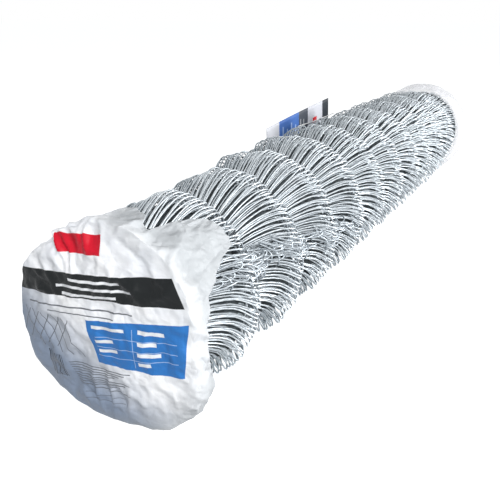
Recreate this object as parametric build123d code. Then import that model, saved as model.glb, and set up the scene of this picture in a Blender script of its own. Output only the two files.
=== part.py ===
"""A compact roll of galvanised chain link mesh, lying on its side.

The mesh is pushed together so that its zigzag wires stand on edge, side by
side, and is then rolled up. Every wire runs from end to end of the roll. The
outer bends line up into round ridges and the inner bends into the valleys
between them. A film cap closes each end, and a printed card stands upright
against the left flank. The roll lies along Y with its near end at -Y, and the
origin is under its middle, on the floor.
"""
import os
from math import cos, hypot, radians, sin

from build123d import *

# Driving dimensions of the mesh, in millimetres
roll_length = 1200.0          # the mesh's height, which is the roll's length
crest_radius = 104.0          # from the roll's axis to the top of a ridge
valley_radius = 64.0          # from the axis to the outer side of an inner bend
crest_pitch = 105.3           # from one ridge to the next
first_crest = -2.8            # the first ridge, measured from the near end
bend_flat = 9.0               # length of the blunt top of an outer bend
wire = 1.83                   # thickness of the galvanised wire
wire_end_gap = 2.0            # from the end of a wire to the end of the roll
settled = 2.0                 # how far the underside has settled flat

# Driving dimensions of the wire bundles
bundle_count = 24
wires_in_bundle = 5
seat_gap = 0.3                # between a wire and what it lies on

# Driving dimensions of the mesh's loose free end
free_end_start = 82.0         # its first bend, measured from the near end
free_end_first_angle = 26.2   # angle of its first bend above the right side
free_end_last_angle = -18.8
free_end_bends = 9
free_end_swing = 9.0          # how far its bends swing to each side

# Driving dimensions of the film caps
film_wall = 0.6
near_cap_clearance = 2.5      # how far the near cap stands off the ridges
near_cap_skirt = 26.0         # how far the near cap reaches along the roll
near_cap_dome = 9.0           # how far its face bulges past the mesh
near_face_inset = 13.0        # where the face turns into the shoulder, in from the ridges
near_shoulder_inset = 6.0     # the shoulder where the mesh ends, in from the ridges
near_shoulder_length = 12.0   # from there to the full radius
far_cap_overlap = 12.0        # how far the sleeve reaches past the last ridge
far_cap_dome = 9.0
far_face_inset = 18.0
far_shoulder_inset = 5.0      # the shoulder where the mesh ends, in from the ridges
far_shoulder_length = 30.0    # from there to the full radius

# Driving dimensions of the near cap's loose flaps
right_flap_from = 34.0        # degrees above the right side
right_flap_to = 64.0
right_flap_reach = 88.0       # how far the flap reaches along the roll
top_flap_from = 70.0
top_flap_to = 97.0
top_flap_reach = 50.0

# Driving dimensions of the card and its tie
card_length = 278.0
card_height = 120.0
card_thickness = 0.8
card_middle = 678.5           # middle of the card, measured from the near end
card_above = 37.5             # from where it touches the ridges to its middle
card_touch_angle = 180.0      # where it touches the ridges, degrees
card_tilt = 3.9               # its far end is the higher one, degrees
tie_length = 183.0
tie_width = 2.4
tie_thickness = 1.0
tie_above = 64.0              # from where the card touches to the tie's far end
tie_tilt = 5.8                # its near end is the higher one, degrees
tie_past_card = 25.0

# Sizes that follow
axis_height = crest_radius - settled
near_end = -roll_length / 2
far_end = roll_length / 2
first_wire_end = near_end + wire_end_gap
last_wire_end = far_end - wire_end_gap
crest_count = int((roll_length - first_crest) / crest_pitch) + 1
leg_rise = crest_radius - valley_radius
leg_run = (crest_pitch - bend_flat) / 2
bar_depth = wire * hypot(leg_rise, leg_run) / leg_run
lowest_wire = film_wall + seat_gap
core_drop = settled + lowest_wire + bar_depth + seat_gap
bundle_angle = 360.0 / bundle_count
near_cap_radius = crest_radius + near_cap_clearance
near_shoulder_radius = crest_radius - near_shoulder_inset
near_face_radius = crest_radius - near_face_inset
far_shoulder_radius = crest_radius - far_shoulder_inset
far_face_radius = crest_radius - far_face_inset


def crest_places():
    """Places of the ridges along Y."""
    return [near_end + first_crest + n * crest_pitch for n in range(crest_count)]


def ridge_line(crest_radii, inner_radius):
    """A zigzag in the plane of Y and radius, from one end of the wires to the other."""
    points = []
    for place, radius in zip(crest_places(), crest_radii):
        points.append((place - bend_flat / 2, radius))
        points.append((place + bend_flat / 2, radius))
        points.append((place + crest_pitch / 2, inner_radius))
    return trim_line(points, first_wire_end, last_wire_end)


def trim_line(points, start, end):
    """The same line, cut square at start and end."""
    kept = []
    for (y1, r1), (y2, r2) in zip(points, points[1:]):
        for cut in (start, end):
            if y1 < cut < y2:
                kept.append((cut, r1 + (r2 - r1) * (cut - y1) / (y2 - y1)))
        if start < y2 < end:
            kept.append((y2, r2))
    return kept


def at_angle(solid, angle):
    """Turn a solid made above the roll's axis to its angle round the roll."""
    return Pos(0, 0, axis_height) * Rot(0, 90 - angle, 0) * solid


def turned(profile):
    """Turn a closed profile of (y, radius) points round the roll's axis."""
    face = make_face(Polyline(*[(r, y) for y, r in profile], close=True))
    return Pos(0, 0, axis_height) * revolve(face, Axis.Y)


def reach_under_cap(inside, shoulder, radius, length):
    """How far a wire may reach from the axis, this far inside a cap's end."""
    slope = (radius - shoulder) / length
    wall_line = shoulder - film_wall + slope * (inside - film_wall)
    return min(radius - film_wall, wall_line) - seat_gap * hypot(1, slope)


def crest_reach(place):
    """How far the outer bends of one ridge reach from the axis."""
    first = max(place - bend_flat / 2, first_wire_end)
    last = min(place + bend_flat / 2, last_wire_end)
    near_reach = far_reach = crest_radius
    if place == crest_places()[0]:
        near_reach = reach_under_cap(
            first - near_end, near_shoulder_radius, near_cap_radius, near_shoulder_length)
    if place == crest_places()[-1]:
        far_reach = reach_under_cap(far_end - last, far_shoulder_radius, crest_radius, far_shoulder_length)
    return min(crest_radius, near_reach, far_reach)


def floor_reach(angle):
    """How far a wire at this angle may reach before it meets the flat underside."""
    tilt = abs((angle + 90 + 180) % 360 - 180)
    if tilt >= 60:
        return crest_radius
    reach = (axis_height - lowest_wire) / cos(radians(tilt))
    return reach - wire / 2 * sin(radians(tilt))


def zigzag_wire(angle):
    """One wire of the mesh, a square bar standing on edge at this angle."""
    radii = [min(crest_reach(place), floor_reach(angle)) for place in crest_places()]
    outer = ridge_line(radii, valley_radius)
    inner = [(y, r - bar_depth) for y, r in reversed(outer)]
    face = Plane.YZ * make_face(Polyline(*outer, *inner, close=True))
    return at_angle(extrude(face, amount=wire / 2, both=True), angle)


def wire_bundle(number):
    """The wires of one sector of the roll's outer turn."""
    step = bundle_angle / wires_in_bundle
    first = number * bundle_angle + step / 2
    return Compound([zigzag_wire(first + n * step) for n in range(wires_in_bundle)])


def inner_turns():
    """The hidden inner turns of the roll, one ridged body."""
    radii = [crest_reach(place) - core_drop for place in crest_places()]
    line = ridge_line(radii, valley_radius - bar_depth - seat_gap)
    return turned([(first_wire_end, 0), *line, (last_wire_end, 0)])


def free_end_bend(number):
    """Where one bend of the free end lies, on the ridges' tops."""
    along = free_end_start + number * crest_pitch / 2
    side = free_end_swing if number % 2 else -free_end_swing
    sag = free_end_swing**2 / (2 * crest_radius)
    radius = crest_radius + seat_gap + wire / 2 + sag
    turn = (free_end_last_angle - free_end_first_angle) * number / free_end_bends
    angle = radians(free_end_first_angle + turn) + side / radius
    return Vector(radius * cos(angle), near_end + along, axis_height + radius * sin(angle))


def mesh_free_end():
    """The last wire of the mesh, lying loose across the ridges."""
    bends = [free_end_bend(number) for number in range(free_end_bends + 1)]
    bars = []
    for first, second in zip(bends, bends[1:]):
        middle = (first + second) / 2
        outward = Vector(middle.X, 0, middle.Z - axis_height)
        along = second - first
        plane = Plane(origin=middle, x_dir=along.cross(outward).normalized(), z_dir=along)
        bars.append(plane * Box(wire, wire, along.length + wire / 2))
    joined = bars[0]
    for bar in bars[1:]:
        joined = joined + bar
    return joined


def above(solid, floor):
    """Cut a solid off flat at a height."""
    size = 2 * roll_length
    keep = Box(size, size, size, align=(Align.CENTER, Align.CENTER, Align.MIN))
    return solid & (Pos(0, 0, floor) * keep)


def film_cap(line):
    """A film cap of even wall, resting flat on the floor. line gives it for an inset."""
    return above(turned(line(0)), 0) - above(turned(line(film_wall)), film_wall)


def near_cap_line(inset):
    """The near cap's outline from its rim to the middle of its face."""
    rim = near_end + near_cap_skirt
    radius = near_cap_radius - inset
    return [
        (rim, 0),
        (rim, radius),
        (near_end + near_shoulder_length, radius),
        (near_end + inset, near_shoulder_radius - inset),
        (near_end - near_cap_dome / 3 + inset, near_face_radius - inset),
        (near_end - near_cap_dome + inset, near_face_radius / 2 - inset),
        (near_end - near_cap_dome + inset, 0),
    ]


def far_cap_line(inset):
    """The far cap's outline from its rim to the middle of its face."""
    rim = crest_places()[-1] - far_cap_overlap
    radius = crest_radius - inset
    return [
        (rim, 0),
        (rim, radius),
        (far_end - far_shoulder_length, radius),
        (far_end - inset, far_shoulder_radius - inset),
        (far_end + far_cap_dome / 3 - inset, far_face_radius - inset),
        (far_end + far_cap_dome - inset, far_face_radius / 2 - inset),
        (far_end + far_cap_dome - inset, 0),
    ]


def near_flap(angle_from, angle_to, reach):
    """A loose flap of the near cap, from its rim out along the roll."""
    start = near_end + near_cap_skirt
    inner = near_cap_radius - film_wall
    face = make_face(Pos((inner + near_cap_radius) / 2, (start + near_end + reach) / 2) * Rectangle(
        film_wall, near_end + reach - start))
    turn = revolve(face, Axis.Y, angle_to - angle_from)
    return Pos(0, 0, axis_height) * Rot(0, -angle_to, 0) * turn


def on_card(solid):
    """Place a solid made on the XY plane on the card's inner face."""
    touching = at_angle(Pos(0, 0, crest_radius + seat_gap) * solid, card_touch_angle)
    return Pos(0, near_end + card_middle, 0) * touching


def card():
    """The printed card, a flat sheet that touches the ridges with its inner face."""
    sheet = Box(card_height, card_length, card_thickness, align=(Align.CENTER, Align.CENTER, Align.MIN))
    return on_card(Pos(card_above, 0, 0) * Rot(0, 0, card_tilt) * sheet)


def card_tie():
    """The thin tie that crosses the card and runs on past its far edge."""
    strap = Box(tie_width, tie_length, tie_thickness, align=(Align.CENTER, Align.MAX, Align.MAX))
    return on_card(Pos(tie_above, card_length / 2 + tie_past_card, 0) * Rot(0, 0, tie_tilt) * strap)


def export_part(name, shape):
    shape.label = name
    export_step(shape, f"parts/{name}.step", write_pcurves=False)


def build():
    os.makedirs("parts", exist_ok=True)
    export_part("inner_turns", inner_turns())
    for number in range(bundle_count):
        export_part(f"wire_bundle_{number + 1:02d}", wire_bundle(number))
    export_part("mesh_free_end", mesh_free_end())
    export_part("near_film", film_cap(near_cap_line))
    export_part("near_right_flap", near_flap(right_flap_from, right_flap_to, right_flap_reach))
    export_part("near_top_flap", near_flap(top_flap_from, top_flap_to, top_flap_reach))
    export_part("far_film", film_cap(far_cap_line))
    export_part("card", card())
    export_part("card_tie", card_tie())


build()
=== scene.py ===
"""The looks of a compact roll of galvanised chain link mesh with its film caps and card."""
import math
import random

import bmesh
import bpy
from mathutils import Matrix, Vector, noise

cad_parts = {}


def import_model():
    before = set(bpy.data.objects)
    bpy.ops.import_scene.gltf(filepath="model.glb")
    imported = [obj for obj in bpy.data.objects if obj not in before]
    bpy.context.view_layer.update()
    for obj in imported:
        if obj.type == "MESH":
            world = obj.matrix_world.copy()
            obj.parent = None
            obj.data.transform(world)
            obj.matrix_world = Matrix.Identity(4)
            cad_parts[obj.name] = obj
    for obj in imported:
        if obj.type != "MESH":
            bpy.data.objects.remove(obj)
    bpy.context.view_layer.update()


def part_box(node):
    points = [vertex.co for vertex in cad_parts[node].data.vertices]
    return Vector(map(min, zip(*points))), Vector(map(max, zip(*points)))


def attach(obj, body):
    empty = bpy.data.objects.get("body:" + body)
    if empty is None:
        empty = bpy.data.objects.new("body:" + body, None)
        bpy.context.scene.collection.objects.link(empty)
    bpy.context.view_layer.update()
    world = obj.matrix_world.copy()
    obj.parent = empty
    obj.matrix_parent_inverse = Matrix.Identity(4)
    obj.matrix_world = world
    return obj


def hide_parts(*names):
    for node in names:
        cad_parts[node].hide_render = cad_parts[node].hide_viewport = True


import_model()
noise.seed_set(5)

# The roll, in metres
CORE_LOW, CORE_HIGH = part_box("inner_turns")
TIE_LOW, TIE_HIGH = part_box("card_tie")
AXIS_HEIGHT = (CORE_LOW[2] + CORE_HIGH[2]) / 2
WIRE_START, WIRE_STOP = CORE_LOW[1], CORE_HIGH[1]
NEAR_END = WIRE_START - 0.002
FAR_END = WIRE_STOP + 0.002
CREST_RADIUS = 0.104
VALLEY_RADIUS = 0.066
CREST_PITCH = 0.1053
FIRST_CREST = -0.0028
BEND_COUNT = 2 * int((FAR_END - NEAR_END - FIRST_CREST) / CREST_PITCH) + 2
LOWEST_WIRE = 0.0012

# The wire
WIRE = 0.00183
VALLEY_ARCH = 0.006
# How far round, from one bend to the next, a leg's middle has turned
LEG_TURN = 0.38
BUNDLES = 24
WIRES_IN_BUNDLE = 5
# How far the first crest stays in from the near cap's face, and how much lower the last one is
UNDER_CAP = 0.0045
LAST_CREST_DROP = 0.013
# How far the first ridges sink in on the upper left, and where that starts and stops fading
SUNK_DEPTH = 0.0155
SUNK_FROM, SUNK_TO = 0.09, 0.42
# How uneven the wires are: a wave round the roll and a scatter from bend to bend, in the place
# along the roll, the radius and the angle of a bend, and in the angle of a leg's middle
PLACE_WAVE, PLACE_SCATTER = 0.0034, 0.0013
RADIUS_WAVE, RADIUS_SCATTER, PAIR_WAVE = 0.0018, 0.0008, 0.0026
ANGLE_WAVE, ANGLE_SCATTER = 0.022, 0.004
LEG_WAVE, LEG_SCATTER = 0.012, 0.014

# Tables round the roll, as (angle in degrees above the right side, value)

# How blunt the outer bends are
CREST_ARCH = (
    (-100, 0.005), (-50, 0.0056), (-5, 0.0056), (30, 0.007), (60, 0.009), (110, 0.010), (190, 0.009),
)
# Where along the roll, from a valley to the next crest, a leg bows most
LEG_ALONG = ((-110, 0.66), (-50, 0.80), (-5, 0.72), (35, 0.62), (190, 0.62))
# How much of the way out a leg has come there
LEG_RISE = ((-110, 0.65), (-50, 0.46), (-5, 0.52), (35, 0.70), (60, 0.72), (190, 0.72))
# Half the width of a bend
HAIRPIN = ((-100, 0.0012), (-50, 0.0010), (-10, 0.0013), (30, 0.0020), (70, 0.0014), (180, 0.001))
# How much deeper the next turn lies, as a share of its usual depth
LOOSE = ((-110, 1.0), (-50, 1.5), (-5, 1.4), (35, 1.1), (80, 1.0), (180, 1.0))
# How far the outer bends draw together in pairs
DRAWN = ((-110, 0.4), (-50, 0.72), (-10, 0.56), (40, 0.25), (180, 0.2))
# How far the ridges slant towards the far end
SLANT = ((-50, 0.0), (75, 0.0), (118, 0.015), (140, 0.018), (165, 0.015), (210, 0.0))
# How far the ridges bulge on the upper left
BULGE = ((-60, 0.0), (60, 0.0), (100, -0.0035), (129, 0.0045), (160, -0.003), (190, 0.0))
# How much deeper the valleys are
VALLEY_DEPTH = ((-60, 0.0), (70, 0.001), (110, 0.008), (165, 0.008), (200, 0.0))
# How far the ridges lean over
RIDGE_LEAN = (
    (-90, 0.006), (-50, 0.008), (-15, 0.014), (10, 0.016), (30, 0.009), (60, 0.004), (180, 0.004),
)

# The shaded core: how far in its ends lie, how far under the outer turn it is, how much deeper its
# valleys are, the radius of the disc at each end, and its steps round the roll
CORE_INSET = 0.004
CORE_DROP = 0.0145
CORE_VALLEY_DROP = 0.006
CORE_EYE = 0.002
CORE_STEPS = 48

# The rolled wire ends at the far end: first and last radius, distance between turns, length of a
# step, how far a step swings out and along, and how deep they lie behind the far end's wires
END_LOW = 0.010
END_HIGH = 0.060
END_PITCH = 0.0044
END_STEP = 0.0052
END_SWING_OUT = 0.0007
END_SWING_ALONG = 0.0019
END_DEPTH = 0.0045

# The film caps: the film's thickness, how far the near face bulges and stands off the roll's end,
# how far its shoulder reaches along the roll, how much longer than its chord the shoulder's curve
# is, and how far the film stays off the floor
FILM = 0.0003
NEAR_DOME = 0.009
NEAR_GAP = 0.0006
NEAR_SHOULDER = 0.014
SHOULDER_CURVE = 1.11
FLOOR_GAP = 0.0004
# How far the skirt stands off the axis
NEAR_SKIRT = (
    (-30, 0.1105), (-14, 0.103), (0, 0.1015), (32, 0.105), (50, 0.107), (62, 0.104), (76, 0.1055),
    (88, 0.1025), (97, 0.0985), (112, 0.0955), (134, 0.0955), (146, 0.099), (158, 0.103),
    (190, 0.105), (212, 0.107), (226, 0.105), (240, 0.1035), (255, 0.102), (270, 0.102),
    (285, 0.1054), (294, 0.1112), (303, 0.115), (316, 0.1145),
)
# Where its edge is, measured from the near end
NEAR_EDGE = (
    (-24, 0.026), (-6, 0.016), (7, 0.018), (22, 0.027), (29, 0.045), (34, 0.062),
    (38.6, 0.091), (43, 0.089), (55, 0.085), (60, 0.070), (63, 0.046), (65.5, 0.017),
    (69, 0.020), (75, 0.034), (84, 0.042), (92, 0.038), (98, 0.028), (110, 0.022),
    (135, 0.026), (170, 0.022), (200, 0.03), (235, 0.024), (270, 0.028), (305, 0.024),
)
# The radius of the crease round its face
NEAR_FACE = (
    (7, 0.094), (23, 0.099), (41, 0.103), (58, 0.104), (72, 0.103), (84, 0.099),
    (96, 0.0955), (117, 0.092), (134, 0.093), (144, 0.096), (156, 0.101), (175, 0.102),
    (195, 0.103), (212, 0.1065), (227, 0.1025), (241, 0.1005), (254, 0.0975), (270, 0.096),
    (285, 0.0955), (303, 0.092), (318, 0.089), (344, 0.0914),
)
# How many squares its sheet has each way, and how much of it is face and shoulder
NEAR_GRID = 190
NEAR_FACE_SHARE = 0.7
# The level that ridged noise swings about, and the crinkles: height, fineness and layer
RIDGED_LEVEL = 0.6
NEAR_CRINKLES = ((0.0036, 21, 0), (0.0021, 47, 3), (0.0007, 110, 7))
# Its main creases on the flat sheet: start, end, width and depth
NEAR_FOLDS = (
    ((0.093, -0.030), (0.052, -0.078), 0.003, 0.0030),
    ((0.050, -0.078), (0.030, -0.105), 0.003, -0.0030),
    ((0.020, -0.052), (0.034, -0.100), 0.004, 0.0026),
    ((-0.002, -0.050), (0.012, -0.098), 0.003, -0.0022),
    ((0.030, 0.090), (0.085, 0.100), 0.004, -0.0040),
    ((0.012, 0.098), (0.060, 0.068), 0.003, -0.0030),
    ((0.020, 0.085), (0.045, 0.125), 0.004, 0.0034),
    ((0.060, 0.085), (0.120, 0.105), 0.004, 0.0030),
    ((0.100, 0.060), (0.150, 0.125), 0.004, -0.0024),
    ((0.095, 0.035), (0.128, -0.010), 0.004, 0.0022),
    ((0.098, -0.005), (0.120, -0.050), 0.004, -0.0020),
    ((-0.085, -0.012), (-0.045, -0.052), 0.003, 0.0020),
    ((-0.095, 0.030), (-0.050, 0.020), 0.004, -0.0022),
    ((-0.070, -0.050), (-0.050, -0.085), 0.003, -0.0018),
)

# The far sleeve's profile from the middle of the end to its rim, as (radius, distance past the end)
FAR_PROFILE = (
    (0, 0.0085), (0.045, 0.0083), (0.083, 0.0068), (0.0980, 0.0030),
    (0.1048, -0.0050), (0.1068, -0.016), (0.1064, -0.036), (0.0985, -0.058),
)
# How many parts each stretch of it has, its steps round the roll, and how far it stands off
FAR_CUTS = 8
FAR_STEPS = 260
FAR_STAND = 0.0011

# The card, which touches the ridges with its inner face: its size, the angle where it touches, its
# tilt, its gap to the ridges, and how far its middle is from the near end and above the axis
CARD_LENGTH = 0.278
CARD_HEIGHT = 0.120
CARD_BOARD = 0.0008
CARD_TOUCH = math.radians(180)
CARD_TILT = math.radians(3.9)
CARD_GAP = 0.0003
CARD_DISTANCE = 0.6785
CARD_LIFT = 0.0375
CARD_OUT = Vector((math.cos(CARD_TOUCH), 0, math.sin(CARD_TOUCH)))
CARD_RISE = Vector((math.sin(CARD_TOUCH), 0, -math.cos(CARD_TOUCH)))
CARD_ALONG = Vector((0, math.cos(CARD_TILT), 0)) + CARD_RISE * math.sin(CARD_TILT)
CARD_UP = CARD_RISE * math.cos(CARD_TILT) - Vector((0, math.sin(CARD_TILT), 0))
CARD_MIDDLE = Vector((0, NEAR_END + CARD_DISTANCE, AXIS_HEIGHT))
CARD_MIDDLE += CARD_OUT * (CREST_RADIUS + CARD_GAP) + CARD_RISE * CARD_LIFT

# The loose free end: where it starts and stops, measured from the near end, and the height of its
# wires, which ride over the ridges
FREE_START, FREE_STOP = 0.07, 0.47
FREE_RADIUS, FREE_RIDGE = 0.0955, 0.0095

# The camera: its place, which way it looks, how far down, and its lens
CAMERA_PLACE = (0.3479, -0.9763, AXIS_HEIGHT + 0.2625)
CAMERA_HEADING = math.radians(27.9)
CAMERA_DOWN = math.radians(20.84)
CAMERA_LENS = 44.53
SENSOR = 36.0


def lerp(a, b, share):
    """The value this share of the way from a to b."""
    return a + (b - a) * share


def smooth(low, high, value):
    """0 below low, 1 above high, and an even curve between them."""
    t = min(max((value - low) / (high - low), 0), 1)
    return t * t * (3 - 2 * t)


def round_roll(angle, radius, y):
    """The point at this angle round the roll's axis, in radians above the right side."""
    return Vector((radius * math.cos(angle), y, AXIS_HEIGHT + radius * math.sin(angle)))


def ring_noise(angle, detail, row):
    """Smooth noise from -1 to 1 that closes up round the roll."""
    return noise.noise(Vector((math.cos(angle) * detail, math.sin(angle) * detail, row)))


def round_table(table, angle):
    """A value that changes smoothly round the roll, read from (degrees, value) pairs."""
    degrees = math.degrees(angle) % 360
    stops = [(table[-1][0] - 360, table[-1][1]), *table, (table[0][0] + 360, table[0][1])]
    for (first, low), (last, high) in zip(stops, stops[1:]):
        for value in (degrees, degrees - 360):
            if first <= value <= last:
                return lerp(low, high, smooth(first, last, value))
    return table[0][1]


def ridged(point, detail):
    """Noise from 0 to 1 with sharp creases, as crinkled film has."""
    return 1 - abs(noise.noise(point * detail)) * 2


def put_in_scene(name, data):
    """An object of this name in the scene, at the origin."""
    made = bpy.data.objects.new(name, data)
    bpy.context.scene.collection.objects.link(made)
    return made


def new_piece(name, data, material):
    """A piece of the roll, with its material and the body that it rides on."""
    piece = put_in_scene(name, data)
    data.materials.append(material)
    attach(piece, "root")
    return piece


def finished_mesh(bm, name):
    """The smooth mesh of a bmesh, which isn't needed any more."""
    mesh = bpy.data.meshes.new(name)
    bm.to_mesh(mesh)
    bm.free()
    mesh.shade_smooth()
    return mesh


def give_wall(piece, thickness, offset):
    """Give a sheet its thickness, inwards at offset -1 and outwards at 1."""
    wall = piece.modifiers.new("wall", "SOLIDIFY")
    wall.thickness = thickness
    wall.offset = offset


def turned(profile, steps):
    """A bmesh turned round the roll's axis from (radius, y) pairs, and its rings of points."""
    bm = bmesh.new()
    rings = []
    for radius, y in profile:
        angles = [step * math.tau / steps for step in range(steps if radius > 0 else 1)]
        rings.append([bm.verts.new(round_roll(angle, radius, y)) for angle in angles])
    for inner, outer in zip(rings, rings[1:]):
        for step in range(steps):
            following = (step + 1) % steps
            if len(inner) == 1:
                bm.faces.new((inner[0], outer[step], outer[following]))
            else:
                bm.faces.new((inner[step], outer[step], outer[following], inner[following]))
    return bm, rings


def smooth_spline(curve, places):
    """Add a smooth line through these places to a curve."""
    spline = curve.splines.new("BEZIER")
    spline.bezier_points.add(len(places) - 1)
    for point, place in zip(spline.bezier_points, places):
        point.co = place
        point.handle_left_type = "AUTO"
        point.handle_right_type = "AUTO"


# Materials


class Shader:
    """A material's nodes, added and wired by short calls."""

    def __init__(self, name):
        self.material = bpy.data.materials.new(name)
        self.material.use_nodes = True
        self.tree = self.material.node_tree
        self.tree.nodes.clear()
        self.output = self.tree.nodes.new("ShaderNodeOutputMaterial")

    def node(self, kind, inputs=None, **settings):
        """Add a node of this kind and fill its inputs."""
        made = self.tree.nodes.new("ShaderNode" + kind)
        for key, value in settings.items():
            setattr(made, key, value)
        for key, value in (inputs or {}).items():
            self.put(made.inputs[key], value)
        return made

    def put(self, socket, value):
        """Link another node's output to an input, or set the input to a constant."""
        if isinstance(value, bpy.types.NodeSocket):
            self.tree.links.new(value, socket)
        else:
            socket.default_value = value

    def place(self, scale=(1, 1, 1)):
        """The piece's own coordinates, in metres."""
        coordinates = self.node("TexCoord").outputs["Object"]
        return self.node("Mapping", {"Vector": coordinates, "Scale": scale}).outputs[0]

    def noise(self, vector, scale, detail, roughness):
        return self.node(
            "TexNoise", {"Vector": vector, "Scale": scale, "Detail": detail, "Roughness": roughness}
        ).outputs["Fac"]

    def split(self, vector):
        """The three parts of a vector."""
        return self.node("SeparateXYZ", {"Vector": vector}).outputs

    def sheet(self):
        """The place on a flat sheet, from the piece's own UV map."""
        return self.node("UVMap", uv_map="sheet").outputs[0]

    def ramp(self, value, stops, kind="LINEAR"):
        """A colour for each value, from (position, colour) pairs."""
        made = self.node("ValToRGB", {"Fac": value})
        made.color_ramp.interpolation = kind
        elements = made.color_ramp.elements
        while len(elements) < len(stops):
            elements.new(0.5)
        for element, (place, colour) in zip(elements, stops):
            element.position = place
            element.color = (*colour, 1)
        return made.outputs[0]

    def maths(self, operation, *values, clamp=False):
        made = self.node("Math", operation=operation, use_clamp=clamp)
        for socket, value in zip(made.inputs, values):
            self.put(socket, value)
        return made.outputs[0]

    def mix(self, share, first, second):
        made = self.node("Mix", data_type="RGBA")
        self.put(made.inputs["Factor"], share)
        self.put(made.inputs[6], first)
        self.put(made.inputs[7], second)
        return made.outputs[2]

    def tint(self, share, first, colour):
        """Mix a plain colour, given as red, green and blue, over another."""
        return self.mix(share, first, (*colour, 1))

    def bump(self, height, strength, distance):
        return self.node(
            "Bump", {"Height": height, "Strength": strength, "Distance": distance}
        ).outputs[0]

    def finish(self, **inputs):
        """End the material in a plain surface, whose inputs are named with _ for each space."""
        named = {name.replace("_", " "): value for name, value in inputs.items()}
        body = self.node("BsdfPrincipled", named)
        self.tree.links.new(body.outputs[0], self.output.inputs["Surface"])
        return self.material


def galvanised_wire(name, light, dark):
    """Bright zinc with streaks along the wire and a faint spangle, with painted shade near the floor
    and on the upper left."""
    s = Shader(name)
    along = s.place(scale=(1, 0.12, 1))
    streaks = s.noise(along, 420, 3, 0.6)
    here = s.place()
    side, _, height = s.split(here)
    spangle = s.node("TexVoronoi", {"Vector": here, "Scale": 900}).outputs["Distance"]
    tone = s.maths("MULTIPLY_ADD", spangle, 0.25, s.maths("MULTIPLY", streaks, 0.85))
    colour = s.ramp(tone, [(0.25, dark), (0.7, light)])
    # Painted shade: the wire's colour turns darker near the floor and on the upper left, away from the
    # lamps.
    low = s.maths("MULTIPLY_ADD", height, -26.0, 1.5, clamp=True)
    left = s.maths("MULTIPLY_ADD", side, -16.0, -0.2, clamp=True)
    left = s.maths("MULTIPLY", left, s.maths("MULTIPLY_ADD", side, 40.0, 4.0, clamp=True))
    shade = s.maths("MULTIPLY", s.maths("MAXIMUM", low, left), 0.8)
    colour = s.tint(shade, colour, (0.17, 0.21, 0.24))
    roughness = s.maths("MULTIPLY_ADD", streaks, 0.2, 0.32)
    return s.finish(
        Base_Color=colour,
        Metallic=0.8,
        Roughness=roughness,
        Normal=s.bump(streaks, 0.12, 0.0004),
    )


def shaded_wire():
    """Painted shade for what shows between the deepest wires: dark, uneven and matt."""
    s = Shader("shaded_inner_mesh")
    stripes = s.noise(s.place(scale=(1, 0.1, 1)), 260, 2, 0.6)
    colour = s.ramp(stripes, [(0.35, (0.010, 0.014, 0.016)), (0.75, (0.10, 0.12, 0.13))])
    return s.finish(Base_Color=colour, Roughness=0.8, Normal=s.bump(stripes, 0.5, 0.002))


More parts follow.
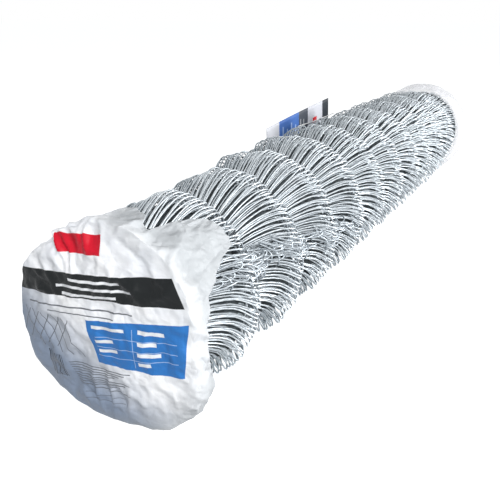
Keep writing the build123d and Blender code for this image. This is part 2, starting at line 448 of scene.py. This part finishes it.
def printed_film():
    """White film, crinkled, with painted shade on its lower left, a grey tint on its right that is
    partly the mesh seen through and partly painted shade, and plain blocks and rules printed on its
    face.
    """
    s = Shader("printed_white_film")
    sheet = s.node(
        "Mapping", {"Vector": s.sheet(), "Scale": (0.5, 0.5, 1), "Location": (-0.25, -0.25, 0)}
    ).outputs[0]
    x, z, _ = s.split(sheet)

    def patch(corners):
        """1 inside the shape with these corners, given clockwise, with a slightly soft edge."""
        soft = 0.0004
        mask = None
        for (x1, z1), (x2, z2) in zip(corners, corners[1:] + corners[:1]):
            length = math.hypot(x2 - x1, z2 - z1)
            across, up = (z2 - z1) / length / soft, -(x2 - x1) / length / soft
            depth = s.maths("MULTIPLY_ADD", x, across, -(x1 * across + z1 * up))
            depth = s.maths("MULTIPLY_ADD", z, up, depth)
            depth = s.maths("ADD", depth, 0.5, clamp=True)
            mask = depth if mask is None else s.maths("MINIMUM", mask, depth)
        return mask

    def bar(x1, z1, x2, z2, width):
        """A straight rule from one place to another."""
        length = math.hypot(x2 - x1, z2 - z1)
        side_x, side_z = -(z2 - z1) / length * width / 2, (x2 - x1) / length * width / 2
        return patch([
            (x1 + side_x, z1 + side_z), (x2 + side_x, z2 + side_z),
            (x2 - side_x, z2 - side_z), (x1 - side_x, z1 - side_z),
        ])

    crinkle = s.noise(sheet, 160, 4, 0.62)
    bend = s.maths("ABSOLUTE", s.maths("SUBTRACT", s.noise(sheet, 42, 2, 0.5), 0.5))
    creases = s.maths("MULTIPLY_ADD", bend, 2.4, s.maths("MULTIPLY", crinkle, 0.4))
    warp = s.node("TexNoise", {"Vector": sheet, "Scale": 30, "Detail": 2}).outputs["Color"]
    warped = s.node(
        "VectorMath", {0: warp, 1: (0.02, 0.02, 0.02), 2: sheet}, operation="MULTIPLY_ADD"
    ).outputs[0]
    facets = s.node("TexVoronoi", {"Vector": warped, "Scale": 36}).outputs["Distance"]
    creases = s.maths("MULTIPLY_ADD", facets, 1.7, creases)
    cloudy = s.noise(sheet, 22, 3, 0.6)
    colour = s.ramp(cloudy, [(0.3, (0.80, 0.82, 0.86)), (0.62, (0.96, 0.96, 0.965))])
    # Painted shade: the face turns grey-blue towards its lower left, which faces away from the lamps.
    low_left_painted_shade = s.maths("MULTIPLY_ADD", z, -14.0, s.maths("MULTIPLY", x, -10.0))
    low_left_painted_shade = s.maths("SUBTRACT", low_left_painted_shade, 0.06, clamp=True)
    reach = s.node("VectorMath", {0: sheet}, operation="LENGTH").outputs["Value"]
    on_face = s.maths("MULTIPLY_ADD", reach, -80.0, 9.2, clamp=True)
    colour = s.tint(s.maths("MULTIPLY", low_left_painted_shade, on_face), colour, (0.24, 0.29, 0.38))

    # Grey on the skirt and flap to the right: partly the darker mesh seen through the thin film,
    # partly painted shade that tones down the light there.
    thin = s.maths("MULTIPLY", s.maths("SUBTRACT", reach, 0.084), 26.0, clamp=True)
    thin = s.maths("MULTIPLY", thin, s.maths("MULTIPLY_ADD", x, 24.0, 0.6, clamp=True))
    colour = s.tint(thin, colour, (0.45, 0.47, 0.485))

    def add(mask, ink):
        """Print a shape over what is there."""
        nonlocal colour
        colour = s.tint(mask, colour, ink)

    charcoal, white, blue = (0.012, 0.014, 0.015), (0.85, 0.86, 0.88), (0.035, 0.18, 0.50)
    red, grey, pale_blue = (0.62, 0.012, 0.03), (0.13, 0.14, 0.16), (0.45, 0.58, 0.80)
    add(patch([(-0.125, 0.0375), (0.078, 0.0635), (0.089, 0.0385), (-0.125, 0.0165)]), charcoal)
    add(patch([(-0.045, 0.083), (0.010, 0.090), (0.010, 0.073), (-0.045, 0.066)]), red)
    for row, (start, end) in enumerate(((-0.030, 0.028), (-0.046, 0.040), (-0.040, 0.022))):
        height = 0.047 - row * 0.0072
        add(bar(start, height + start * 0.12, end, height + end * 0.12, 0.0026), white)
    add(patch([(-0.0127, 0.008), (0.0926, 0.0245), (0.0864, -0.0272), (-0.0026, -0.033)]), blue)
    for height in (-0.003, -0.013, -0.022):
        add(bar(-0.001, height - 0.002, 0.082, height + 0.008, 0.0005), pale_blue)
    add(bar(0.038, 0.010, 0.040, -0.027, 0.0005), pale_blue)
    left_rules = ((0.006, -0.006, 0.030), (-0.007, -0.002, 0.018), (-0.016, 0.001, 0.022))
    for height, start, end in left_rules:
        add(bar(start, height - 0.003, end, height + 0.001, 0.0030), white)
    for height, end in ((0.010, 0.070), (-0.001, 0.062), (-0.011, 0.065), (-0.021, 0.057)):
        add(bar(0.044, height - 0.001, end, height + 0.001, 0.0036), white)
    add(bar(-0.085, 0.010, 0.040, 0.024, 0.0014), grey)
    add(bar(-0.060, 0.0065, 0.020, 0.0155, 0.0010), grey)
    for line in range(5):
        start = -0.095 + line * 0.0125
        add(bar(start, 0.002, start + 0.024, -0.034, 0.0009), grey)
        add(bar(start + 0.010, 0.002, start - 0.008, -0.030, 0.0009), grey)
    for line in range(11):
        start = -0.068 + line * 0.0019
        add(bar(start, -0.038, start + 0.004, -0.062, 0.0006 if line % 3 else 0.0011), charcoal)
    for line in range(9):
        height = -0.039 - line * 0.0028
        start, end = -0.040 + line * 0.0008, 0.032 - line % 4 * 0.006
        add(bar(start, height - 0.004, end, height + 0.002, 0.0010), grey)
    for height in (-0.070, -0.076):
        add(bar(-0.026, height - 0.003, 0.020, height + 0.001, 0.0006), grey)
    return s.finish(
        Base_Color=colour,
        Specular_IOR_Level=0.15,
        Roughness=s.maths("MULTIPLY_ADD", crinkle, 0.25, 0.3),
        Normal=s.bump(creases, 0.62, 0.0026),
    )


def clear_film():
    """Thin milky film."""
    s = Shader("clear_film")
    crinkle = s.noise(s.place(), 70, 4, 0.6)
    return s.finish(
        Base_Color=(0.92, 0.92, 0.96, 1),
        Roughness=0.25,
        Alpha=0.22,
        Normal=s.bump(crinkle, 0.3, 0.002),
    )


def printed_card():
    """A pale card with plain bands of colour printed across it."""
    s = Shader("printed_card")
    along, up, _ = s.split(s.sheet())
    bands = (
        (0.0, (0.60, 0.61, 0.65)), (0.176, (0.05, 0.14, 0.43)), (0.487, (0.06, 0.07, 0.09)),
        (0.635, (0.58, 0.59, 0.64)), (0.89, (0.02, 0.026, 0.036)),
    )
    colour = s.ramp(along, bands, "CONSTANT")

    def between(value, low, high):
        """1 where the value lies between these two."""
        above, below = s.maths("GREATER_THAN", value, low), s.maths("LESS_THAN", value, high)
        return s.maths("MULTIPLY", above, below)

    pale_blue, grey, red = (0.34, 0.46, 0.72), (0.42, 0.44, 0.47), (0.62, 0.02, 0.03)
    strips = [
        (0.23, 0.246, 0.2, 0.90, pale_blue), (0.295, 0.311, 0.2, 0.84, pale_blue),
        (0.36, 0.376, 0.2, 0.90, pale_blue), (0.425, 0.441, 0.2, 0.84, pale_blue),
        (0.51, 0.522, 0.2, 0.88, grey), (0.56, 0.572, 0.2, 0.86, grey),
        (0.72, 0.79, 0.71, 0.80, red),
    ]
    for start, end, bottom, top, ink in strips:
        inside = s.maths("MULTIPLY", between(along, start, end), between(up, bottom, top))
        colour = s.tint(inside, colour, ink)
    grain = s.noise(s.place(), 300, 3, 0.6)
    return s.finish(
        Base_Color=colour,
        Roughness=s.maths("MULTIPLY_ADD", grain, 0.15, 0.38),
        Normal=s.bump(grain, 0.1, 0.0004),
    )


def tie_plastic():
    """Smooth white plastic."""
    s = Shader("tie_plastic")
    return s.finish(Base_Color=(0.85, 0.86, 0.86, 1), Roughness=0.35)


# Wires


def bend_radius_limit(angle):
    """How far a bend may reach before it meets the flat underside."""
    downward = -math.sin(angle)
    if downward < 0.5:
        return 1.0
    return (AXIS_HEIGHT - LOWEST_WIRE - WIRE / 2) / downward


def sunk(angle, y):
    """How far the first ridges have sunk in on the upper left, under the cap's tight film."""
    degrees = math.degrees(angle) % 360
    side = smooth(88, 118, degrees) * (1 - smooth(136, 165, degrees))
    return SUNK_DEPTH * side * (1 - smooth(NEAR_END + SUNK_FROM, NEAR_END + SUNK_TO, y))


def first_ridge_limit(angle):
    """How far the first ridge may reach under the near cap."""
    return round_table(NEAR_FACE, angle) - UNDER_CAP


def wire_bends(angle, turn, number, source):
    """Where one wire bends, as (angle, radius, place along the roll, swing) for each bend.

    A turn says how far under the outer one it lies (drop), how far its bends pull aside (pull), how
    much its ridges lean (lean) and how many wires it has (wires).
    """
    bends = []
    side = 1 if number % 2 else -1
    to_pair = (0.5 - number % 2) * math.tau / turn["wires"]
    last_crest = BEND_COUNT - 2
    for bend in range(BEND_COUNT):
        outer = bend % 2 == 0
        row = bend * 3.7 + turn["drop"] * 900
        y = NEAR_END + FIRST_CREST + bend * CREST_PITCH / 2
        y += PLACE_WAVE * ring_noise(angle, 5, row) + source.uniform(-1, 1) * PLACE_SCATTER
        radius = CREST_RADIUS if outer else VALLEY_RADIUS - round_table(VALLEY_DEPTH, angle)
        radius -= turn["drop"] * round_table(LOOSE, angle)
        radius += RADIUS_WAVE * ring_noise(angle, 6, row + 40) + source.uniform(-1, 1) * RADIUS_SCATTER
        here = angle + ANGLE_WAVE * ring_noise(angle, 16, row + 80)
        here += source.uniform(-1, 1) * ANGLE_SCATTER
        if outer:
            radius += PAIR_WAVE * noise.noise(Vector((number // 2 * 1.7, row, 0.5)))
            here += to_pair * round_table(DRAWN, angle)
            if 0 < bend < last_crest:
                y += round_table(SLANT, angle)
        here += side * (1 if outer else -1) * turn["pull"] / radius
        if outer:
            here -= turn["lean"] * round_table(RIDGE_LEAN, here) / radius
            radius -= sunk(here, y)
            if 0 < bend < last_crest:
                radius += round_table(BULGE, here)
        radius = min(radius, bend_radius_limit(here))
        if bend == 0:
            radius = min(radius, first_ridge_limit(here) - turn["drop"])
        if bend == last_crest:
            radius -= LAST_CREST_DROP
        swing = round_table(HAIRPIN, angle) * (1 if outer else -0.6) * source.uniform(0.8, 1.2)
        bends.append((here, radius, min(max(y, WIRE_START), WIRE_STOP), swing))
    return bends


def mesh_wire(curve, angle, turn, number, source):
    """Add one wire of the mesh to a curve, from the near end of the roll to the far end."""
    bends = wire_bends(angle, turn, number, source)
    spline = curve.splines.new("BEZIER")
    spline.bezier_points.add(2 * len(bends) - 2)
    for place, (here, radius, y, swing) in enumerate(bends):
        outer = place % 2 == 0
        centre = round_roll(here, radius, y)
        across = Vector((-math.sin(here), 0, math.cos(here)))
        arch = round_table(CREST_ARCH, here) if outer else VALLEY_ARCH
        arch *= source.uniform(0.85, 1.15)
        bend_side = Vector((0, arch, 0)) - across * swing * 1.3
        point = spline.bezier_points[2 * place]
        point.co = centre
        point.handle_left = centre - bend_side
        point.handle_right = centre + bend_side
        if place == len(bends) - 1:
            break
        next_here, next_radius, next_y, next_swing = bends[place + 1]
        bow = round_table(LEG_RISE, here)
        rise = bow if not outer else 1 - bow
        along = round_table(LEG_ALONG, here)
        along = along if not outer else 1 - along
        turn_share = LEG_TURN if not outer else 1 - LEG_TURN
        middle = lerp(here, next_here, turn_share)
        middle += lerp(-swing, next_swing, along) / radius
        wave = LEG_WAVE * ring_noise(angle, 14, place * 2.3 + 200)
        middle += wave + source.uniform(-1, 1) * LEG_SCATTER
        leg = spline.bezier_points[2 * place + 1]
        leg.co = round_roll(middle, lerp(radius, next_radius, rise), lerp(y, next_y, along))
        leg.handle_left_type = "AUTO"
        leg.handle_right_type = "AUTO"


def wire_curve(name, roundness, smoothness):
    """An empty curve for wires, rounder and smoother with higher numbers."""
    curve = bpy.data.curves.new(name, "CURVE")
    curve.dimensions = "3D"
    curve.bevel_depth = WIRE / 2
    curve.bevel_resolution = roundness
    curve.resolution_u = smoothness
    curve.use_fill_caps = True
    return curve


def outer_turn(material):
    """The outer turn of the mesh, one piece for each bundle of wires."""
    total = BUNDLES * WIRES_IN_BUNDLE
    turn = {"drop": 0.0, "pull": 0.0009, "lean": 1.0, "wires": total}
    for bundle in range(BUNDLES):
        source = random.Random(100 + bundle)
        curve = wire_curve(f"outer_wires_{bundle + 1:02d}", roundness=1, smoothness=5)
        for number in range(WIRES_IN_BUNDLE):
            index = bundle * WIRES_IN_BUNDLE + number
            angle = (index + 0.5) / total * math.tau
            mesh_wire(curve, angle, turn, index, source)
        piece = new_piece(curve.name, curve, material)
        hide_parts(f"wire_bundle_{bundle + 1:02d}")


def deeper_turns(materials):
    """The turns under the outer one, which show between its wires."""
    turns = (
        {"drop": 0.0048, "pull": 0.001, "lean": 0.8, "wires": 108},
        {"drop": 0.0100, "pull": 0.001, "lean": 0.6, "wires": 96},
    )
    for depth, (turn, material) in enumerate(zip(turns, materials)):
        source = random.Random(900 + depth)
        curve = wire_curve(f"deeper_turn_{depth + 1}", roundness=1 - depth, smoothness=3)
        for number in range(turn["wires"]):
            angle = (number + 0.5 + source.uniform(-0.4, 0.4)) / turn["wires"] * math.tau
            mesh_wire(curve, angle, turn, number, source)
        piece = new_piece(curve.name, curve, material)
        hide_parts("inner_turns")


def shaded_core(material):
    """The dark middle of the roll, painted shade under the deeper turns, turned from one profile."""
    first_y, last_y = WIRE_START + CORE_INSET, WIRE_STOP - CORE_INSET
    profile = [(CORE_EYE, first_y)]
    for bend in range(BEND_COUNT):
        y = NEAR_END + FIRST_CREST + bend * CREST_PITCH / 2
        radius = CREST_RADIUS if bend % 2 == 0 else VALLEY_RADIUS - CORE_VALLEY_DROP
        profile.append((radius - CORE_DROP, min(max(y, first_y), last_y)))
    profile.append((CORE_EYE, last_y))
    bm, rings = turned(profile, CORE_STEPS)
    for vert in bm.verts:
        angle = math.atan2(vert.co.z - AXIS_HEIGHT, vert.co.x)
        radius = math.hypot(vert.co.x, vert.co.z - AXIS_HEIGHT)
        if radius > VALLEY_RADIUS:
            vert.co = round_roll(angle, radius - sunk(angle, vert.co.y), vert.co.y)
    bm.faces.new(rings[0])
    bm.faces.new(rings[-1])
    bmesh.ops.recalc_face_normals(bm, faces=bm.faces)
    piece = new_piece("shaded_core", finished_mesh(bm, "shaded_core"), material)
    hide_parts("inner_turns")


def far_wire_ends(material):
    """The wire ends at the far end, rolled up turn by turn, which show through the clear film."""
    curve = wire_curve("far_wire_ends", roundness=1, smoothness=2)
    steps = int(math.pi * (END_HIGH**2 - END_LOW**2) / END_PITCH / END_STEP) + 1
    places = []
    angle = 0
    for number in range(steps):
        radius = END_LOW + END_PITCH * angle / math.tau
        side = 1 if number % 2 else -1
        y = WIRE_STOP - END_DEPTH + side * END_SWING_ALONG
        places.append(round_roll(angle, radius + side * END_SWING_OUT, y))
        angle += END_STEP / radius
    smooth_spline(curve, places)
    piece = new_piece(curve.name, curve, material)
    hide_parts("inner_turns")


# The near film cap


def fold(u, v, start, end, width):
    """A sharp fold line between two places on the flat sheet, from 0 to 1."""
    here = Vector((u, v))
    first = Vector(start)
    along = Vector(end) - first
    share = min(max((here - first).dot(along) / along.length_squared, 0), 1)
    away = (here - first - along * share).length
    taper = math.sin(math.pi * min(max(share, 0.08), 0.92))
    return math.exp(-away / width) * taper


def near_crinkle(u, v):
    """How far the near cap's film stands out of its plain shape, at a place on the flat sheet."""
    reach = math.hypot(u, v)
    angle = math.atan2(v, u)
    degrees = math.degrees(angle)
    place = Vector((u, v, 0.3))
    place += noise.noise_vector(place * 30) * 0.012
    height = 0
    for depth, detail, layer in NEAR_CRINKLES:
        height += depth * (ridged(place + Vector((0, 0, layer)), detail) - RIDGED_LEVEL)
    rim = smooth(0.045, 0.088, reach)
    pleat = ridged(Vector((math.cos(angle), math.sin(angle), reach * 5)), 5.5) - 0.5
    upper_left = smooth(70, 95, degrees) * (1 - smooth(160, 178, degrees))
    height += 0.0048 * pleat * rim * upper_left * (1 - smooth(0.095, 0.115, reach))
    height += 0.0010 * pleat * smooth(0.085, 0.1, reach) * (1 - upper_left)
    hanging = smooth(0.03, 0.075, -v) * (1 - smooth(0.088, 0.105, reach))
    height += 0.0050 * (max(ridged(Vector((u, v * 0.22, 5)), 46), 0) ** 2.5 - 0.3) * hanging
    for start, end, width, depth in NEAR_FOLDS:
        height += depth * fold(u, v, start, end, width)
    return height


def near_parts(angle):
    """The cap's face radius, skirt radius and length over the shoulder, at this angle."""
    face = round_table(NEAR_FACE, angle)
    skirt = round_table(NEAR_SKIRT, angle)
    return face, skirt, math.hypot(NEAR_SHOULDER, skirt - face) * SHOULDER_CURVE


def near_skirt_length(angle):
    """How far the cap's film reaches past its shoulder."""
    return round_table(NEAR_EDGE, angle) - NEAR_SHOULDER


def near_bag_point(angle, reach):
    """A point of the near cap, this far along the film from the middle of its face."""
    face, skirt, shoulder = near_parts(angle)
    front = NEAR_END - NEAR_GAP
    if reach <= face:
        share = reach / face
        radius = reach
        y = front - NEAR_DOME * (1 - share**3.2)
        tilt = smooth(0.75, 1.0, share) * 0.5
    elif reach <= face + shoulder:
        share = (reach - face) / shoulder
        radius = face + (skirt - face) * math.sin(share * math.pi / 2)
        y = front + NEAR_SHOULDER * (1 - math.cos(share * math.pi / 2))
        tilt = 0.5 + 0.5 * share
    else:
        radius = skirt
        y = front + NEAR_SHOULDER + reach - face - shoulder
        tilt = 1
    out = near_crinkle(reach * math.cos(angle), reach * math.sin(angle))
    if tilt == 1:
        out = out * 0.8 + 0.0004
    degrees = math.degrees(angle) % 360
    tight = smooth(125, 160, degrees) * (1 - smooth(290, 330, degrees))
    tight *= smooth(0.7, 0.95, reach / face)
    out *= 1 - 0.65 * tight
    radius += out * math.sin(tilt * math.pi / 2)
    y -= out * math.cos(tilt * math.pi / 2)
    place = round_roll(angle, radius, y)
    place.z = max(place.z, FILM + FLOOR_GAP)
    return place


def near_reach(angle, share):
    """How far along the film a point is, for its share of the way across the flat grid."""
    face, _, shoulder = near_parts(angle)
    reach = min(share / NEAR_FACE_SHARE, 1) * (face + shoulder)
    skirt_share = max(share - NEAR_FACE_SHARE, 0) / (1 - NEAR_FACE_SHARE)
    return reach + skirt_share * near_skirt_length(angle)


def near_bag(material):
    """The crinkled film cap, one flat disc of film bent over the end of the roll."""
    bm = bmesh.new()
    bmesh.ops.create_grid(bm, x_segments=NEAR_GRID, y_segments=NEAR_GRID, size=1)
    sheet = bm.loops.layers.uv.new("sheet")
    flat = {}
    for vert in bm.verts:
        x, z = vert.co.x, vert.co.y
        u, v = x * math.sqrt(1 - z * z / 2), z * math.sqrt(1 - x * x / 2)
        angle = math.atan2(v, u)
        reach = near_reach(angle, math.hypot(u, v))
        flat[vert] = (reach * math.cos(angle), reach * math.sin(angle))
        vert.co = near_bag_point(angle, reach)
    for face in bm.faces:
        for loop in face.loops:
            u, v = flat[loop.vert]
            loop[sheet].uv = (0.5 + 2 * u, 0.5 + 2 * v)
    bmesh.ops.recalc_face_normals(bm, faces=bm.faces)
    piece = new_piece("near_bag", finished_mesh(bm, "near_bag"), material)
    give_wall(piece, FILM, -1)
    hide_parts("near_film", "near_right_flap", "near_top_flap")


# The far film sleeve, the card and its tie, and the loose free end


def far_sleeve(material):
    """The clear sleeve over the far end, pleated over the edge of the roll."""
    profile = [FAR_PROFILE[0]]
    for (low_radius, low_y), (high_radius, high_y) in zip(FAR_PROFILE, FAR_PROFILE[1:]):
        for cut in range(1, FAR_CUTS + 1):
            share = cut / FAR_CUTS
            profile.append((lerp(low_radius, high_radius, share), lerp(low_y, high_y, share)))
    bm, _ = turned([(radius, FAR_END + y) for radius, y in profile], FAR_STEPS)
    rim_y = FAR_END + FAR_PROFILE[-1][1]
    for vert in bm.verts:
        out = Vector((vert.co.x, 0, vert.co.z - AXIS_HEIGHT))
        radius = out.length
        if radius < 0.0001:
            continue
        out /= radius
        angle = math.atan2(out.z, out.x)
        over_edge = smooth(0.05, 0.095, radius)
        pleat = ridged(Vector((out.x, out.z, vert.co.y * 1.5)), 7) - RIDGED_LEVEL
        crinkle = ridged(vert.co, 32) - RIDGED_LEVEL
        stand = 0.0016 * pleat * over_edge + 0.0013 * crinkle
        radius = min(radius + stand, bend_radius_limit(angle) + FAR_STAND)
        slack = 0.010 * ring_noise(angle, 3.2, 9) * smooth(FAR_END - 0.03, rim_y, vert.co.y)
        vert.co = round_roll(angle, radius, vert.co.y + slack)
    bmesh.ops.recalc_face_normals(bm, faces=bm.faces)
    piece = new_piece("far_sleeve", finished_mesh(bm, "far_sleeve"), material)
    give_wall(piece, FILM, -1)
    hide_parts("far_film")


def on_card(along, up, out):
    """A place on the card: along and up from its middle, and out from its inner face."""
    return CARD_MIDDLE + CARD_ALONG * along + CARD_UP * up + CARD_OUT * out


def hang_card(material):
    """The printed card, a slightly bowed sheet that stands on the ridges."""
    bm = bmesh.new()
    bmesh.ops.create_grid(bm, x_segments=40, y_segments=20, size=0.5)
    sheet = bm.loops.layers.uv.new("sheet")
    for face in bm.faces:
        for loop in face.loops:
            loop[sheet].uv = (loop.vert.co.x + 0.5, loop.vert.co.y + 0.5)
    for vert in bm.verts:
        along, up = vert.co.x * CARD_LENGTH, vert.co.y * CARD_HEIGHT
        bow = 0.0018 * (1 - (2 * vert.co.x) ** 2)
        bow += 0.002 * max(vert.co.y, 0) * (vert.co.x + 0.5)
        vert.co = on_card(along, up, CARD_BOARD / 2 + bow)
    mesh = finished_mesh(bm, "printed_card")
    piece = new_piece("printed_card", mesh, material)
    give_wall(piece, CARD_BOARD, 1)
    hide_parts("card")


def tie(material):
    """The thin tie across the card."""
    curve = bpy.data.curves.new("tie", "CURVE")
    curve.dimensions = "3D"
    curve.bevel_depth = 0.0008
    curve.bevel_resolution = 2
    x = (TIE_LOW[0] + TIE_HIGH[0]) / 2 + 0.001
    z = (TIE_LOW[2] + TIE_HIGH[2]) / 2
    places = []
    for step in range(4):
        share = step / 3
        sag = -0.0012 * math.sin(math.pi * share)
        places.append((x, lerp(TIE_LOW[1], TIE_HIGH[1], share), z + sag))
    smooth_spline(curve, places)
    piece = new_piece("tie_across_card", curve, material)
    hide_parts("card_tie")


def free_end_angle(t):
    """The angle of the free end's line round the roll, this far from the near end."""
    return math.radians(34 - 95 * t)


def loose_wire(curve, places):
    """A loose wire through places given as (angle, radius, distance from the near end)."""
    smooth_spline(curve, [
        round_roll(angle, min(radius, bend_radius_limit(angle)), NEAR_END + t)
        for angle, radius, t in places
    ])


def free_end(material):
    """The loose free end of the mesh: hooks and crossing wires along the right flank."""
    source = random.Random(31)
    curve = wire_curve("free_end_wires", roundness=1, smoothness=5)
    t = FREE_START
    while t < FREE_STOP:
        ridge = math.cos((t - FIRST_CREST) / CREST_PITCH * math.tau)
        top = FREE_RADIUS + FREE_RIDGE * ridge + source.uniform(-0.003, 0.001)
        angle = free_end_angle(t) + source.uniform(-0.12, 0.10)
        kind = source.random()
        if kind < 0.6:
            half = source.uniform(0.018, 0.032)
            length = source.uniform(0.014, 0.026)
            slant = source.uniform(-0.01, 0.16)
            loose_wire(curve, [
                (angle + slant + half, top - 0.012, t - length),
                (angle + half, top - 0.0005, t - length * 0.25),
                (angle, top + 0.0006, t),
                (angle - half, top - 0.0005, t - length * 0.2),
                (angle + slant - half, top - 0.012, t - length * 0.95),
            ])
        elif kind < 0.85:
            loose_wire(curve, [
                (angle + source.uniform(0.10, 0.18), top - 0.014, t - source.uniform(0.01, 0.02)),
                (angle + 0.04, top - 0.001, t), (angle - 0.07, top, t + source.uniform(0.001, 0.008)),
                (angle - source.uniform(0.14, 0.22), top - 0.012, t + source.uniform(0.006, 0.02)),
            ])
        else:
            loose_wire(curve, [
                (angle, top - 0.013, t - 0.026), (angle - 0.02, top + 0.0005, t - 0.006),
                (angle - 0.02, top + 0.001, t + 0.012), (angle + 0.02, top - 0.012, t + 0.030),
            ])
        t += source.uniform(0.005, 0.012) * lerp(0.45, 1, smooth(0.15, 0.3, t))
    piece = new_piece("free_end_wires", curve, material)
    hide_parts("mesh_free_end")


# The scene round the roll


def floor():
    """A plain pale floor that runs on past the picture."""
    bm = bmesh.new()
    bmesh.ops.create_grid(bm, x_segments=1, y_segments=1, size=30)
    mesh = finished_mesh(bm, "floor")
    s = Shader("floor")
    pale = s.node("BsdfDiffuse", {"Color": (0.4, 0.41, 0.42, 1)})
    path = s.node("LightPath")
    seen = s.maths("MAXIMUM", path.outputs["Is Camera Ray"], path.outputs["Is Glossy Ray"])
    glow = s.node("Emission", {"Color": (1, 1, 1, 1), "Strength": s.maths("MULTIPLY", seen, 0.93)})
    both = s.node("AddShader")
    s.put(both.inputs[0], pale.outputs[0])
    s.put(both.inputs[1], glow.outputs[0])
    s.put(s.output.inputs["Surface"], both.outputs[0])
    mesh.materials.append(s.material)
    put_in_scene("floor", mesh)


def area_lamp(name, place, target, size, power):
    """A round lamp that shines from one place towards another."""
    lamp = bpy.data.lights.new(name, "AREA")
    lamp.shape = "DISK"
    lamp.size = size
    lamp.energy = power
    holder = put_in_scene(name, lamp)
    holder.location = place
    holder.rotation_euler = (Vector(target) - Vector(place)).to_track_quat("-Z", "Y").to_euler()


def world():
    """Soft light from all round, and white where the camera or a reflection looks past the roll."""
    made = bpy.data.worlds.new("studio")
    made.use_nodes = True
    tree = made.node_tree
    tree.nodes.clear()
    path = tree.nodes.new("ShaderNodeLightPath")
    mirrored = tree.nodes.new("ShaderNodeMath")
    mirrored.operation = "MAXIMUM"
    tree.links.new(path.outputs["Is Glossy Ray"], mirrored.inputs[0])
    tree.links.new(path.outputs["Is Transmission Ray"], mirrored.inputs[1])
    seen = tree.nodes.new("ShaderNodeMath")
    seen.operation = "MAXIMUM"
    tree.links.new(path.outputs["Is Camera Ray"], seen.inputs[0])
    tree.links.new(mirrored.outputs[0], seen.inputs[1])
    soft = tree.nodes.new("ShaderNodeBackground")
    soft.inputs["Color"].default_value = (0.84, 0.91, 1, 1)
    soft.inputs["Strength"].default_value = 0.19
    white = tree.nodes.new("ShaderNodeBackground")
    white.inputs["Color"].default_value = (1, 1, 1, 1)
    white.inputs["Strength"].default_value = 1.0
    mixed = tree.nodes.new("ShaderNodeMixShader")
    tree.links.new(seen.outputs[0], mixed.inputs[0])
    tree.links.new(soft.outputs[0], mixed.inputs[1])
    tree.links.new(white.outputs[0], mixed.inputs[2])
    out = tree.nodes.new("ShaderNodeOutputWorld")
    tree.links.new(mixed.outputs[0], out.inputs[0])
    bpy.context.scene.world = made


def camera():
    """The camera, where the photograph was taken from."""
    data = bpy.data.cameras.new("camera")
    data.sensor_width = SENSOR
    data.lens = CAMERA_LENS
    holder = put_in_scene("camera", data)
    holder.location = CAMERA_PLACE
    holder.rotation_euler = (math.pi / 2 - CAMERA_DOWN, 0, CAMERA_HEADING)
    bpy.context.scene.camera = holder


bright = galvanised_wire("galvanised_wire", (0.66, 0.70, 0.73), (0.36, 0.40, 0.43))
# A darker copy of the wire: painted shade on the loose free end, which would otherwise catch too much
# light.
loose = galvanised_wire("galvanised_loose_wire_painted_shade", (0.46, 0.50, 0.53), (0.25, 0.28, 0.31))
# A darker copy of the wire: painted shade for the deeper turn and the rolled ends behind the far film.
painted_shade_wire = galvanised_wire("galvanised_wire_in_shade", (0.6, 0.65, 0.68), (0.34, 0.38, 0.41))
outer_turn(bright)
deeper_turns((bright, painted_shade_wire))
shaded_core(shaded_wire())
far_wire_ends(painted_shade_wire)
near_bag(printed_film())
far_sleeve(clear_film())
hang_card(printed_card())
tie(tie_plastic())
free_end(loose)

floor()
area_lamp("key", (1.72, -2.3, 1.75), (0, -0.3, 0.1), size=0.7, power=87)
area_lamp("side", (2.4, 0.8, 0.5), (0, 0.3, 0.1), size=1.2, power=72)
area_lamp("fill", (-2.6, 0.9, 0.6), (0, 0.1, 0.1), size=2.0, power=18)
world()
camera()
bpy.context.scene.view_settings.view_transform = "Standard"
